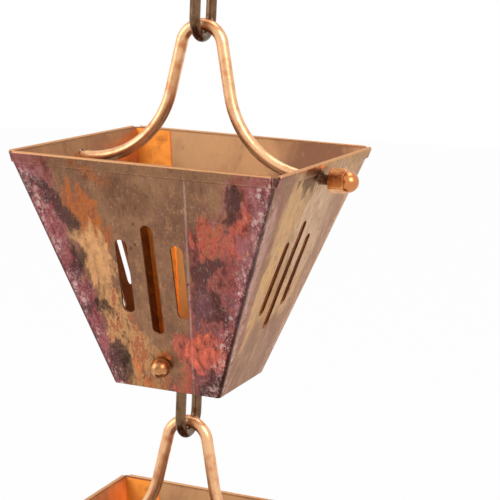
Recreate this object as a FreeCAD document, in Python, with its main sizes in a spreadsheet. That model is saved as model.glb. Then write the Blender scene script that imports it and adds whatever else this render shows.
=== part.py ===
"""Rain chain: square folded cups, each slung on a bent rod from the wire link above it.

Frame: +Z up, the origin where the top link bears on the hook that carries it. Every hanger runs
left to right (X) and every cross pin front to back (Y), so all the cups face the same way.
"""

import FreeCAD, Part
import math
import os

import Sketcher

CUP_COUNT = 5
FACE_COUNT = 4

# Driving dimensions in millimetres, each with what it measures.
SIZES = {
    "rim_width": (108.0, "cup width at the rim, over the sheet"),
    "outlet_width": (45.0, "cup width at the open foot, over the sheet"),
    "cup_height": (92.5, "rim to foot"),
    "sheet": (0.8, "copper sheet thickness"),
    "bend_radius": (1.5, "outer radius of the folded corners"),
    "hem_height": (4.4, "outward fold along each rim side, from the rim to its lower edge"),
    "hem_setback": (2.6, "end of a hem to the corner of the cup"),
    "lap_width": (17.0, "lap tab at the rim, measured from the corner"),
    "lap_foot_width": (9.0, "lap tab at the foot, measured from the corner"),
    "lap_margin": (1.0, "ends of the lap tab to the rim and to the foot"),
    "slot_width": (4.8, "drain slots, side to side"),
    "slot_spacing": (11.4, "middle slot to each side slot"),
    "middle_slot_top": (24.2, "rim to the upper end of a middle slot"),
    "middle_slot_above_foot": (24.2, "lower end of a middle slot to the foot"),
    "side_slot_top": (31.0, "rim to the upper end of a side slot"),
    "side_slot_above_foot": (31.9, "lower end of a side slot to the foot"),
    "hanger_depth": (7.5, "rim to the axis of the hanger's ends"),
    "hanger_rod": (4.8, "hanger rod diameter"),
    "hanger_rise": (55.4, "axis of the hanger's ends to its centre line at the top"),
    "hanger_top_radius": (8.7, "centre line of the top bend"),
    "hanger_leg_spread": (11.3, "outward lean of a leg over the whole rise of the hanger"),
    "hanger_straight": (1.3, "straight rod between a shoulder bend and its collar"),
    "thread_width": (4.2, "threaded rod ends and cross pins"),
    "pin_above_foot": (10.5, "axis of the cross pin to the foot"),
    "nut_flats": (8.7, "cap nut across flats"),
    "nut_hex_length": (6.2, "hexagon of a cap nut"),
    "nut_dome_width": (8.4, "dome of a cap nut"),
    "nut_neck": (0.7, "cylinder between hexagon and dome"),
    "nut_bore_depth": (8.0, "blind bore of a cap nut"),
    "pin_cap_width": (7.6, "round cap nut on the end of a cross pin"),
    "pin_cap_neck": (1.4, "cylinder under the dome of a round cap nut"),
    "pin_cap_bore_depth": (3.9, "blind bore of a round cap nut"),
    "link_wire": (4.2, "link wire diameter"),
    "link_width": (15.5, "centre line to centre line of a link's two legs"),
    "link_drop": (33.5, "cross pin axis to the centre line of the link's lower bend"),
    "link_eye": (10.0, "outer diameter of the flattened eyes on a link's legs"),
    "link_eye_thickness": (3.4, "thickness of those eyes"),
    "top_link_opening": (33.5, "inner length of the closed top link"),
    "thread_gap": (0.05, "radial gap between a thread and its nut"),
    "thread_end_gap": (0.6, "end of a thread to the end of its bore"),
    "seat_gap": (0.05, "cap nut to the wall that it is drawn against"),
    "pin_hole_gap": (0.1, "radial gap between a cross pin and the wall"),
    "eye_gap": (0.1, "radial running gap between a link eye and its pin"),
    "hanger_hole_gap": (0.3, "radial running gap between a hanger and the wall"),
    "bearing_gap": (0.3, "gap between loose pieces that bear on each other"),
    "hanger_end_play": (0.8, "further play of the walls between the collars and the nuts"),
}

doc = FreeCAD.newDocument("RainChain")
sheet = doc.addObject("Spreadsheet::Sheet", "Sizes")
for row, (alias, (number, meaning)) in enumerate(SIZES.items(), start=1):
    sheet.set(f"A{row}", meaning)
    sheet.set(f"B{row}", str(number))
    sheet.setAlias(f"B{row}", alias)
doc.recompute()


class Size:
    """A length from the sheet, as its number and as the expression that binds it."""

    def __init__(self, value, text):
        self.value = value
        self.text = text

    @staticmethod
    def of(other):
        """A plain number, or a Size as it is."""
        return other if isinstance(other, Size) else Size(other, repr(other))

    def __add__(self, other):
        other = Size.of(other)
        return Size(self.value + other.value, f"({self.text} + {other.text})")

    def __sub__(self, other):
        other = Size.of(other)
        return Size(self.value - other.value, f"({self.text} - {other.text})")

    def __mul__(self, other):
        other = Size.of(other)
        return Size(self.value * other.value, f"({self.text} * {other.text})")

    def __truediv__(self, other):
        other = Size.of(other)
        return Size(self.value / other.value, f"({self.text} / {other.text})")

    def __neg__(self):
        return Size(-self.value, f"(0 - {self.text})")

    def root(self):
        """The square root."""
        return Size(math.sqrt(self.value), f"sqrt({self.text})")


def size(alias):
    """The driving dimension of that name."""
    return Size(float(sheet.get(alias)), f"Sizes.{alias}")


ZERO = Size(0.0, "0")

# Worked-out sizes that several pieces share.
pin_depth = size("cup_height") - size("pin_above_foot")
wall_lean = (size("rim_width") - size("outlet_width")) / 2 / size("cup_height")
level_sheet = size("sheet") * (wall_lean * wall_lean + 1).root()
nut_corner = size("nut_flats") / math.sqrt(3)
thread_radius = size("thread_width") / 2
hook_over = size("hanger_rod") / 2 + size("link_wire") / 2 + size("bearing_gap")


def wall_at(depth):
    """Half the cup's outer width at a depth below the rim."""
    return size("rim_width") / 2 - wall_lean * depth


collar_reach = (
    wall_at(size("hanger_depth") + size("hanger_rod") / 2) - level_sheet - size("bearing_gap")
)
hanger_nut_reach = (
    wall_at(size("hanger_depth") - nut_corner)
    + level_sheet
    + size("bearing_gap")
    + size("hanger_end_play")
)
pin_nut_reach = wall_at(pin_depth - size("pin_cap_width") / 2) + size("seat_gap")
thread_in_nut = size("nut_bore_depth") - size("thread_end_gap")
thread_in_pin_cap = size("pin_cap_bore_depth") - size("thread_end_gap")

# Heights of the pieces along the chain.
top_link_half = (size("top_link_opening") + size("link_wire")) / 2
top_link_height = size("link_wire") / 2 - top_link_half
rim_below_link = size("hanger_rise") - size("hanger_depth") - hook_over
first_rim_height = top_link_height - top_link_half - rim_below_link
pitch = pin_depth + size("link_drop") + rim_below_link


def rim_height(number):
    """Height of the rim of one cup, counted from 0 at the top."""
    return first_rim_height - pitch * number


def bind(item, path, length):
    """Tie one property or constraint to the sheet."""
    item.setExpression(path, length.text)


def place(item, x, y, z, axis=FreeCAD.Vector(0, 0, 1), angle=0.0):
    """Turn a piece about an axis and tie its position to the sheet."""
    item.Placement = FreeCAD.Placement(
        FreeCAD.Vector(x.value, y.value, z.value), FreeCAD.Rotation(axis, angle)
    )
    bind(item, "Placement.Base.x", x)
    bind(item, "Placement.Base.y", y)
    bind(item, "Placement.Base.z", z)


def origin_feature(body, role):
    """An origin plane or axis of a body."""
    return next(f for f in body.Origin.OriginFeatures if f.Role == role)


def new_body(label):
    """A body named after its node."""
    body = doc.addObject("PartDesign::Body", label)
    body.Label = label
    return body


def new_sketch(body, name, role, offset=ZERO):
    """A sketch on an origin plane of its body, moved along the plane's normal."""
    sketch = body.newObject("Sketcher::SketchObject", name)
    sketch.AttachmentSupport = [(origin_feature(body, role), "")]
    sketch.MapMode = "FlatFace"
    bind(sketch, "AttachmentOffset.Base.z", offset)
    return sketch


def dimension(sketch, length, *arguments):
    """Add a constraint whose value follows the sheet."""
    index = sketch.addConstraint(Sketcher.Constraint(*arguments, length.value))
    name = f"size_{index}"
    sketch.renameConstraint(index, name)
    bind(sketch, f"Constraints.{name}", length)


def pin_point(sketch, geometry, point, x, y):
    """Hold one point of a sketch at x and y from its origin."""
    dimension(sketch, x, "DistanceX", -1, 1, geometry, point)
    dimension(sketch, y, "DistanceY", -1, 1, geometry, point)


def flat(x, y):
    """A point of a sketch from plain numbers."""
    return FreeCAD.Vector(x, y, 0)


def add_line(sketch, start, end):
    """A straight edge between two pairs of plain numbers."""
    return sketch.addGeometry(Part.LineSegment(flat(*start), flat(*end)), False)


def add_arc(sketch, x, y, radius, start, end):
    """An arc with a held centre and radius, from one angle in degrees to another."""
    circle = Part.Circle(flat(x.value, y.value), FreeCAD.Vector(0, 0, 1), radius.value)
    arc = sketch.addGeometry(Part.ArcOfCircle(circle, math.radians(start), math.radians(end)), False)
    pin_point(sketch, arc, 3, x, y)
    dimension(sketch, radius, "Radius", arc)
    return arc


def add_circle(sketch, x, y, radius):
    """A full circle with a held centre and radius."""
    circle = Part.Circle(flat(x.value, y.value), FreeCAD.Vector(0, 0, 1), radius.value)
    index = sketch.addGeometry(circle, False)
    pin_point(sketch, index, 3, x, y)
    dimension(sketch, radius, "Radius", index)


def add_polygon(sketch, corners):
    """A closed outline of straight edges through held corners."""
    count = len(corners)
    for index, (x, y) in enumerate(corners):
        next_x, next_y = corners[(index + 1) % count]
        add_line(sketch, (x.value, y.value), (next_x.value, next_y.value))
    for index, (x, y) in enumerate(corners):
        before = (index - 1) % count
        sketch.addConstraint(Sketcher.Constraint("Coincident", before, 2, index, 1))
        pin_point(sketch, index, 1, x, y)


def add_slot(sketch, x, top, bottom):
    """An upright slot with round ends, given by the depths of its two ends."""
    radius = size("slot_width") / 2
    upper = add_arc(sketch, x, -(top + radius), radius, 0, 180)
    lower = -(bottom - radius)
    circle = Part.Circle(flat(x.value, lower.value), FreeCAD.Vector(0, 0, 1), radius.value)
    foot = sketch.addGeometry(Part.ArcOfCircle(circle, math.pi, 2 * math.pi), False)
    pin_point(sketch, foot, 3, x, lower)
    left = add_line(
        sketch,
        (x.value - radius.value, -top.value - radius.value),
        (x.value - radius.value, lower.value),
    )
    right = add_line(
        sketch,
        (x.value + radius.value, lower.value),
        (x.value + radius.value, -top.value - radius.value),
    )
    for first, first_end, second, second_end in (
        (upper, 2, left, 1),
        (left, 2, foot, 1),
        (foot, 2, right, 1),
        (right, 2, upper, 1),
    ):
        sketch.addConstraint(Sketcher.Constraint("Tangent", first, first_end, second, second_end))


def finish_feature(body, feature):
    """Make a feature the body's tip and work it out."""
    body.Tip = feature
    doc.recompute()
    return feature


def cut_through(body, name, sketch):
    """Cut a sketch through the body both ways, and see that it took something away."""
    before = body.Shape.Volume
    pocket = body.newObject("PartDesign::Pocket", name)
    pocket.Profile = sketch
    pocket.Type = "ThroughAll"
    pocket.SideType = "Symmetric"
    finish_feature(body, pocket)
    if body.Shape.Volume >= before:
        raise ValueError(f"{body.Label}: {name} cut nothing")
    return pocket


def pad_both_ways(body, name, sketch, length):
    """Pad a sketch by half a length to each side."""
    pad = body.newObject("PartDesign::Pad", name)
    pad.Profile = sketch
    pad.SideType = "Symmetric"
    bind(pad, "Length", length)
    return finish_feature(body, pad)


def turn(body, name, sketch, axis):
    """Revolve a sketch fully about one of its own axes."""
    feature = body.newObject("PartDesign::Revolution", name)
    feature.Profile = sketch
    feature.ReferenceAxis = (sketch, [axis])
    feature.Angle = 360
    return finish_feature(body, feature)


def sweep(body, name, profile, spine):
    """Sweep a round profile along a path."""
    pipe = body.newObject("PartDesign::AdditivePipe", name)
    pipe.Profile = profile
    pipe.Spine = (spine, [])
    return finish_feature(body, pipe)


def mirror(body, name, feature, role):
    """Repeat a feature on the other side of an origin plane."""
    copy = body.newObject("PartDesign::Mirrored", name)
    copy.Originals = [feature]
    copy.MirrorPlane = (origin_feature(body, role), [""])
    return finish_feature(body, copy)


def repeat_round(body, name, feature, count, angle):
    """Repeat a feature about the upright axis, over an angle in degrees."""
    pattern = body.newObject("PartDesign::PolarPattern", name)
    pattern.Originals = [feature]
    pattern.Axis = (origin_feature(body, "Z_Axis"), [""])
    pattern.Angle = angle
    pattern.Occurrences = count
    return finish_feature(body, pattern)


def taper(body, name, foot, rim):
    """A flat-sided solid between two levels, each a depth with its x and y ranges."""
    wedge = body.newObject("PartDesign::AdditiveWedge", name)
    wedge.AttachmentSupport = [(origin_feature(body, "XZ_Plane"), "")]
    wedge.MapMode = "FlatFace"
    for level, prefix, limit in ((foot, "", "Ymin"), (rim, "2", "Ymax")):
        depth, (left, right), (front, back) = level
        bind(wedge, limit, -depth)
        bind(wedge, f"X{prefix}min", left)
        bind(wedge, f"X{prefix}max", right)
        bind(wedge, f"Z{prefix}min", -back)
        bind(wedge, f"Z{prefix}max", -front)
    return finish_feature(body, wedge)


def fold_walls(body):
    """The four leaning walls with their folded corners, open at the rim and at the foot."""
    rim_half = size("rim_width") / 2
    foot_half = size("outlet_width") / 2
    block = taper(
        body,
        "WallBlock",
        (size("cup_height"), (-foot_half, foot_half), (-foot_half, foot_half)),
        (ZERO, (-rim_half, rim_half), (-rim_half, rim_half)),
    )

    slanted = [
        f"Edge{index}"
        for index, edge in enumerate(block.Shape.Edges, start=1)
        if edge.BoundBox.ZLength > size("cup_height").value / 2
    ]
    corners = body.newObject("PartDesign::Fillet", "FoldedCorners")
    corners.Base = (block, slanted)
    bind(corners, "Radius", size("bend_radius"))
    finish_feature(body, corners)

    level = [
        f"Face{index}"
        for index, face in enumerate(corners.Shape.Faces, start=1)
        if face.BoundBox.ZLength < size("sheet").value / 2
    ]
    walls = body.newObject("PartDesign::Thickness", "Walls")
    walls.Base = (corners, level)
    walls.Reversed = True
    bind(walls, "Value", size("sheet"))
    finish_feature(body, walls)


def lap_level(depth, width):
    """The lap tab at one depth, sunk halfway into the back wall that it is soldered to."""
    half = wall_at(depth)
    return (
        depth,
        (size("bend_radius") - half, width - half),
        (half - level_sheet * 2, half - level_sheet / 2),
    )


def add_lap_tab(body):
    """The tab of the left wall that laps the back wall on the inside."""
    foot_depth = size("cup_height") - size("lap_margin")
    taper(
        body,
        "LapTab",
        lap_level(foot_depth, size("lap_foot_width")),
        lap_level(size("lap_margin"), size("lap_width")),
    )


def add_hems(body):
    """The outward folds along the rim, one on each wall, short of the corners."""
    section = new_sketch(body, "HemSection", "XZ_Plane")
    half_sheet = level_sheet / 2
    hem = size("hem_height")
    add_polygon(
        section,
        [
            (wall_at(ZERO) - half_sheet, ZERO),
            (wall_at(ZERO) + half_sheet, ZERO),
            (wall_at(half_sheet) + level_sheet, -half_sheet),
            (wall_at(hem) + level_sheet, -hem),
            (wall_at(hem) - half_sheet, -hem),
        ],
    )
    length = size("rim_width") - size("hem_setback") * 2
    pad = pad_both_ways(body, "RightHem", section, length)
    repeat_round(body, "Hems", pad, FACE_COUNT, 360)


def cut_slots(body):
    """A long drain slot between two shorter ones, the same on every wall."""
    slots = new_sketch(body, "SlotOutlines", "XZ_Plane")
    foot = size("cup_height")
    add_slot(slots, ZERO, size("middle_slot_top"), foot - size("middle_slot_above_foot"))
    for x in (-size("slot_spacing"), size("slot_spacing")):
        add_slot(slots, x, size("side_slot_top"), foot - size("side_slot_above_foot"))
    pocket = cut_through(body, "FrontSlots", slots)
    repeat_round(body, "Slots", pocket, 2, 90)


def cut_rod_holes(body):
    """The holes for the hanger's ends and for the cross pin."""
    hanger = new_sketch(body, "HangerHole", "YZ_Plane")
    add_circle(hanger, ZERO, -size("hanger_depth"), thread_radius + size("hanger_hole_gap"))
    cut_through(body, "HangerHoles", hanger)
    pin = new_sketch(body, "PinHole", "XZ_Plane")
    add_circle(pin, ZERO, -pin_depth, thread_radius + size("pin_hole_gap"))
    cut_through(body, "PinHoles", pin)


def make_cup(label, height):
    """One cup, folded from a single sheet, with its own origin in the middle of the rim."""
    body = new_body(label)
    fold_walls(body)
    add_lap_tab(body)
    add_hems(body)
    cut_slots(body)
    cut_rod_holes(body)
    place(body, ZERO, ZERO, height)
    return body


def hanger_path(body):
    """The hanger's centre line: a top bend, two legs, two shoulders and two level ends."""
    path = new_sketch(body, "HangerPath", "XZ_Plane")
    top_radius = size("hanger_top_radius")
    top = size("hanger_rise") - top_radius
    shoulder = collar_reach - size("hanger_straight")

    # Each leg leans by its spread over the rise, and the shoulder bends on from it to the level end.
    slope = size("hanger_leg_spread") / size("hanger_rise")
    slant = (slope * slope + 1).root()
    shoulder_radius = (shoulder - top * slope - top_radius * slant) / (slant - slope)
    lean = math.atan(slope.value)
    normal = FreeCAD.Vector(math.cos(lean), math.sin(lean), 0)
    upper = flat(0, top.value) + normal * top_radius.value
    lower = flat(shoulder.value, shoulder_radius.value) - normal * shoulder_radius.value
    tilt = math.degrees(lean)

    bend = add_arc(path, ZERO, top, top_radius, tilt, 180 - tilt)
    for side, arc_start, arc_end, level_end, leg_end, bend_end in (
        (1, 180 + tilt, 270, 2, 1, 1),
        (-1, 270, 360 - tilt, 1, 2, 2),
    ):
        arc = add_arc(path, shoulder * side, shoulder_radius, shoulder_radius, arc_start, arc_end)
        leg = add_line(path, (side * lower.x, lower.y), (side * upper.x, upper.y))
        end = add_line(path, (side * shoulder.value, 0), (side * collar_reach.value, 0))
        path.addConstraint(Sketcher.Constraint("Tangent", end, 1, arc, level_end))
        path.addConstraint(Sketcher.Constraint("Tangent", leg, 1, arc, leg_end))
        path.addConstraint(Sketcher.Constraint("Tangent", leg, 2, bend, bend_end))
        pin_point(path, end, 2, collar_reach * side, ZERO)
    return path


def make_hanger(label, height):
    """One bent rod with its ends turned down for thread, its own origin on their axis."""
    body = new_body(label)
    path = hanger_path(body)
    section = new_sketch(body, "RodSection", "YZ_Plane", -collar_reach)
    add_circle(section, ZERO, ZERO, size("hanger_rod") / 2)
    sweep(body, "Rod", section, path)

    thread = new_sketch(body, "ThreadSection", "XZ_Plane")
    tip = hanger_nut_reach + thread_in_nut
    add_polygon(
        thread,
        [(collar_reach, ZERO), (tip, ZERO), (tip, thread_radius), (collar_reach, thread_radius)],
    )
    right = turn(body, "RightThread", thread, "H_Axis")
    mirror(body, "Threads", right, "YZ_Plane")
    place(body, ZERO, ZERO, height)
    return body


def dome_outline(sketch, foot, neck_length, radius):
    """Half the section of a neck and the dome on it, from a height above the seat to the tip."""
    middle = foot + neck_length
    dome = add_arc(sketch, ZERO, middle, radius, 0, 90)
    neck = add_line(sketch, (radius.value, foot.value), (radius.value, middle.value))
    base = add_line(sketch, (0, foot.value), (radius.value, foot.value))
    axis = add_line(sketch, (0, middle.value + radius.value), (0, foot.value))
    sketch.addConstraint(Sketcher.Constraint("Tangent", neck, 2, dome, 1))
    sketch.addConstraint(Sketcher.Constraint("Coincident", base, 2, neck, 1))
    sketch.addConstraint(Sketcher.Constraint("Coincident", dome, 2, axis, 1))
    sketch.addConstraint(Sketcher.Constraint("Coincident", axis, 2, base, 1))
    sketch.addConstraint(Sketcher.Constraint("Horizontal", base))
    pin_point(sketch, axis, 2, ZERO, foot)
    sketch.addConstraint(Sketcher.Constraint("Vertical", axis))


def drill_blind(body, depth):
    """The blind bore of a nut, drilled from its seat to take a thread."""
    before = body.Shape.Volume
    mouth = new_sketch(body, "BoreOutline", "XY_Plane")
    add_circle(mouth, ZERO, ZERO, thread_radius + size("thread_gap"))
    bore = body.newObject("PartDesign::Pocket", "Bore")
    bore.Profile = mouth
    bore.Reversed = True
    bind(bore, "Length", depth)
    finish_feature(body, bore)
    if body.Shape.Volume >= before:
        raise ValueError(f"{body.Label}: the bore cut nothing")


def make_cap_nut(label, x, z, angle):
    """One domed cap nut of a hanger, its own origin in the middle of its seat."""
    body = new_body(label)
    outline = new_sketch(body, "HexOutline", "XY_Plane")
    flat_half = size("nut_flats") / 2
    corner_half = nut_corner / 2
    add_polygon(
        outline,
        [
            (nut_corner, ZERO),
            (corner_half, flat_half),
            (-corner_half, flat_half),
            (-nut_corner, ZERO),
            (-corner_half, -flat_half),
            (corner_half, -flat_half),
        ],
    )
    hexagon = body.newObject("PartDesign::Pad", "Hexagon")
    hexagon.Profile = outline
    bind(hexagon, "Length", size("nut_hex_length"))
    finish_feature(body, hexagon)

    section = new_sketch(body, "DomeSection", "XZ_Plane")
    dome_outline(section, size("nut_hex_length"), size("nut_neck"), size("nut_dome_width") / 2)
    turn(body, "Dome", section, "V_Axis")
    drill_blind(body, size("nut_bore_depth"))
    place(body, x, ZERO, z, FreeCAD.Vector(0, 1, 0), angle)
    return body


def make_round_cap(label, y, z, angle):
    """One round cap nut of a cross pin, its own origin in the middle of its seat."""
    body = new_body(label)
    section = new_sketch(body, "DomeSection", "XZ_Plane")
    dome_outline(section, ZERO, size("pin_cap_neck"), size("pin_cap_width") / 2)
    turn(body, "Dome", section, "V_Axis")
    drill_blind(body, size("pin_cap_bore_depth"))
    place(body, ZERO, y, z, FreeCAD.Vector(1, 0, 0), angle)
    return body


def make_cross_pin(label, height):
    """One straight pin from front to back through the foot of a cup."""
    pin = doc.addObject("Part::Cylinder", label)
    pin.Label = label
    reach = pin_nut_reach + thread_in_pin_cap
    bind(pin, "Radius", thread_radius)
    bind(pin, "Height", reach * 2)
    place(pin, ZERO, reach, height, FreeCAD.Vector(1, 0, 0), 90)
    return pin


def bend_wire(body, start, drop):
    """Wire from a starting depth down one leg, round a half circle and up the other leg."""
    half = size("link_width") / 2
    middle = half - drop
    path = new_sketch(body, "WirePath", "YZ_Plane")
    bend = add_arc(path, ZERO, middle, half, 180, 360)
    for side, bend_end in ((-1, 1), (1, 2)):
        leg = add_line(path, (side * half.value, middle.value), (side * half.value, -start.value))
        path.addConstraint(Sketcher.Constraint("Tangent", leg, 1, bend, bend_end))
        pin_point(path, leg, 2, half * side, -start)
    section = new_sketch(body, "WireSection", "XY_Plane", -start)
    add_circle(section, ZERO, -half, size("link_wire") / 2)
    return sweep(body, "Wire", section, path)


def make_link(label, height):
    """One stirrup link: two legs with flattened eyes on the cross pin, its own origin there."""
    body = new_body(label)
    bore = thread_radius + size("eye_gap")
    outer = size("link_eye") / 2
    bend_wire(body, (bore + outer) / 2, size("link_drop"))
    ring = new_sketch(body, "EyeOutline", "XZ_Plane", size("link_width") / 2)
    add_circle(ring, ZERO, ZERO, outer)
    add_circle(ring, ZERO, ZERO, bore)
    eye = pad_both_ways(body, "FrontEye", ring, size("link_eye_thickness"))
    mirror(body, "Eyes", eye, "XZ_Plane")
    place(body, ZERO, ZERO, height)
    return body


def make_top_link(label):
    """The closed oval link that takes the hook, its own origin in its middle."""
    body = new_body(label)
    lower = bend_wire(body, ZERO, top_link_half)
    mirror(body, "ClosedWire", lower, "XY_Plane")
    place(body, ZERO, ZERO, top_link_height)
    return body


def make_cup_set(number):
    """One cup with its hanger, cross pin, cap nuts and the link under it."""
    name = number + 1
    rim = rim_height(number)
    hanger_height = rim - size("hanger_depth")
    pin_height = rim - pin_depth
    return [
        make_cup(f"cup_{name}", rim),
        make_hanger(f"hanger_{name}", hanger_height),
        make_cap_nut(f"hanger_nut_left_{name}", -hanger_nut_reach, hanger_height, -90),
        make_cap_nut(f"hanger_nut_right_{name}", hanger_nut_reach, hanger_height, 90),
        make_cross_pin(f"cross_pin_{name}", pin_height),
        make_round_cap(f"pin_nut_front_{name}", -pin_nut_reach, pin_height, 90),
        make_round_cap(f"pin_nut_back_{name}", pin_nut_reach, pin_height, -90),
        make_link(f"link_{name}", pin_height),
    ]


pieces = [make_top_link("top_link")]
for cup_number in range(CUP_COUNT):
    pieces += make_cup_set(cup_number)
doc.recompute()

failed = [item.Label for item in doc.Objects if {"Invalid", "Error"} & set(item.State)]
unsound = [
    piece.Label
    for piece in pieces
    if piece.Shape.isNull() or not piece.Shape.isValid() or len(piece.Shape.Solids) != 1
]
if failed or unsound:
    raise ValueError(f"failed: {failed}, unsound: {unsound}")

os.makedirs("parts", exist_ok=True)
for piece in pieces:
    piece.Shape.exportStep(f"parts/{piece.Label}.step")
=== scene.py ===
"""Looks of a hanging rain chain: five flame-coloured copper cups on bent rod hangers and wire links."""
import logging
import math
import random
from collections.abc import Callable, Iterable, Sequence
from dataclasses import dataclass
from enum import Enum, IntEnum
from typing import Any, Union

import bmesh
import bpy
from mathutils import Matrix, Quaternion, Vector
from mathutils.geometry import tessellate_polygon


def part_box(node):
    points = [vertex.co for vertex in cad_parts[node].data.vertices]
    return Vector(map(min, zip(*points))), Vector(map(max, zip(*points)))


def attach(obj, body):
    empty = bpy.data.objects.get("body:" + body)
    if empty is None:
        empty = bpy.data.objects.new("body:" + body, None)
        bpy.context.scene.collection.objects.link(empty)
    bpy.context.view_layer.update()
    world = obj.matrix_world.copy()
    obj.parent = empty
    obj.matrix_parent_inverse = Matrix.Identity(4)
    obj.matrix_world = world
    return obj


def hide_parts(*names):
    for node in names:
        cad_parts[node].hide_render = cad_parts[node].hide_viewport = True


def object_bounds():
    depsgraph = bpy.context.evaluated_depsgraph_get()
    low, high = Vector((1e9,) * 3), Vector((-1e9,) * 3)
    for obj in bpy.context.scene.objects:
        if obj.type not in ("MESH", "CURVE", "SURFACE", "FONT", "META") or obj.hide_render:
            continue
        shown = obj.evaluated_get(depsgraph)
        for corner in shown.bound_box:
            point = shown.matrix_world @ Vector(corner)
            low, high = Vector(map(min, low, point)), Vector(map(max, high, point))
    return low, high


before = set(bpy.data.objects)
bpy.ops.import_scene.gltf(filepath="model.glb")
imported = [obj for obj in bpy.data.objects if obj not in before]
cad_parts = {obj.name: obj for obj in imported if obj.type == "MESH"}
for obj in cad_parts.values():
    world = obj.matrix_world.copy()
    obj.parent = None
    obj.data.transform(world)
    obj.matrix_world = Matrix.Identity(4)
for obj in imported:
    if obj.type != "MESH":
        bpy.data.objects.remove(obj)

log = logging.getLogger("rain_chain")

# A millimetre in metres, and sizes in millimetres that more than one piece uses.
MM = 0.001
RIM_WIDTH = 108.0
THREAD_PITCH = 0.8
THREAD_DEPTH = 0.34
THREAD_RUN = 1.5
# Flame marks: length of their soft ends, cover at their frayed border, and how frayed the burnt ones are.
FLAME_FADE = 0.09
FRAY = (0.28, 0.60)
RAGGED_MARK = 0.85
# Share of the tarnish colour that is left in dark specks.
SPECK_SHADE = 0.35
# The cup in the middle of the picture, counted from the top.
PICTURED_CUP = 2
CAD_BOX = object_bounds()

Colour = tuple[float, float, float]
Pair = tuple[float, float]
Shape = Callable[[float, float, float], float]


class Wall(Enum):
    """The four walls of a cup, in quarter turns from the front."""

    FRONT = 0
    RIGHT = 1
    BACK = 2
    LEFT = 3

    def turned(self, point: Vector) -> Vector:
        """A point of the front wall, turned on to this wall."""
        return Matrix.Rotation(math.radians(90 * self.value), 3, "Z") @ point


class Tint(Enum):
    """Colours of heated, aged and polished copper, and of painted light and shade, as red, green and blue out
    of 255.
    """

    TAUPE = (154, 112, 82)
    GREY_TAUPE = (128, 90, 70)
    UMBER = (100, 64, 46)
    ORANGE = (190, 106, 54)
    TAN = (218, 160, 108)
    RUST = (150, 86, 58)
    GOLD = (200, 148, 98)
    CHARCOAL = (62, 45, 46)
    PLUM = (96, 60, 66)
    MAUVE = (136, 86, 88)
    DUSTY_PINK = (158, 80, 88)
    ROSE = (166, 84, 82)
    CORAL = (202, 96, 74)
    BLOOM = (226, 188, 180)
    KHAKI = (208, 170, 130)
    SAND = (218, 180, 136)
    PALE = (212, 184, 160)
    BRASS = (164, 122, 78)
    STRAW = (208, 166, 108)
    DRAB = (146, 110, 98)
    LAVENDER = (168, 130, 116)
    RIM = (226, 168, 118)
    HEM = (126, 86, 54)
    LAP = (250, 152, 64)
    INSIDE = (188, 140, 98)
    INSIDE_MAUVE = (140, 98, 74)
    # The orange inside is a painted glow; the inside brown is a tone of the sheet and also painted shade deep
    # inside and painted shadow under each hem.
    INSIDE_ORANGE = (204, 124, 58)
    INSIDE_BROWN = (100, 62, 46)
    # This soot colour is real soot round a hanger hole and also painted shade on the left inner wall; the
    # next is painted shade in the back-left inner corner, and the glow after it a painted pool of light.
    SOOT_AND_SHADE = (58, 34, 26)
    CHAR = (26, 12, 8)
    GLOW = (255, 184, 106)
    BROWN_GOLD = (160, 110, 72)
    DEEP_BROWN = (110, 70, 48)
    FRESH_CUT = (134, 86, 60)
    NUT_TIP = (206, 132, 81)
    ROD = (242, 190, 142)
    ROD_DULL = (206, 134, 90)
    NUT = (238, 164, 100)
    NUT_DULL = (156, 88, 48)
    BRONZE = (126, 96, 70)
    BRONZE_DULL = (78, 50, 33)
    THREAD = (134, 88, 62)
    THREAD_DULL = (82, 52, 38)
    LAP_DULL = (196, 112, 52)
    FRESH_CUT_DULL = (82, 50, 36)
    WORN = (210, 150, 98)
    WORN_DULL = (148, 94, 58)

    @property
    def linear(self) -> Colour:
        """The colour in linear light."""
        parts = [level / 255 for level in self.value]
        return tuple(part / 12.92 if part <= 0.04045 else ((part + 0.055) / 1.055) ** 2.4 for part in parts)


class Sock:
    """A shader value: an output socket on which Python operators add Math nodes."""

    def __init__(self, bench: "Bench", socket: bpy.types.NodeSocket) -> None:
        """Wrap one output socket of a bench."""
        self.bench = bench
        self.socket = socket

    def __add__(self, other: "Value") -> "Sock":
        """Sum."""
        return self.bench.math("ADD", self, other)

    def __radd__(self, other: "Value") -> "Sock":
        """Sum with a number on the left."""
        return self.bench.math("ADD", other, self)

    def __sub__(self, other: "Value") -> "Sock":
        """Difference."""
        return self.bench.math("SUBTRACT", self, other)

    def __rsub__(self, other: "Value") -> "Sock":
        """Difference from a number on the left."""
        return self.bench.math("SUBTRACT", other, self)

    def __mul__(self, other: "Value") -> "Sock":
        """Product."""
        return self.bench.math("MULTIPLY", self, other)

    def __rmul__(self, other: "Value") -> "Sock":
        """Product with a number on the left."""
        return self.bench.math("MULTIPLY", other, self)

    def __gt__(self, other: "Value") -> "Sock":
        """One where this value is the greater, else nought."""
        return self.bench.math("GREATER_THAN", self, other)

    def __abs__(self) -> "Sock":
        """Size without sign."""
        return self.bench.math("ABSOLUTE", self)

    def times_plus(self, factor: "Value", more: "Value") -> "Sock":
        """Product and sum in one node."""
        return self.bench.math("MULTIPLY_ADD", self, factor, more)

    def rise(self, low: float, high: float, top: float = 1.0) -> "Sock":
        """A smooth step from nought at low to the top at high."""
        return self.bench.step(self, low, high, 0.0, top)

    def fall(self, low: float, high: float) -> "Sock":
        """A smooth step from one at low to nought at high."""
        return self.bench.step(self, low, high, 1.0, 0.0)


Value = Union[Sock, float]


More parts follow.
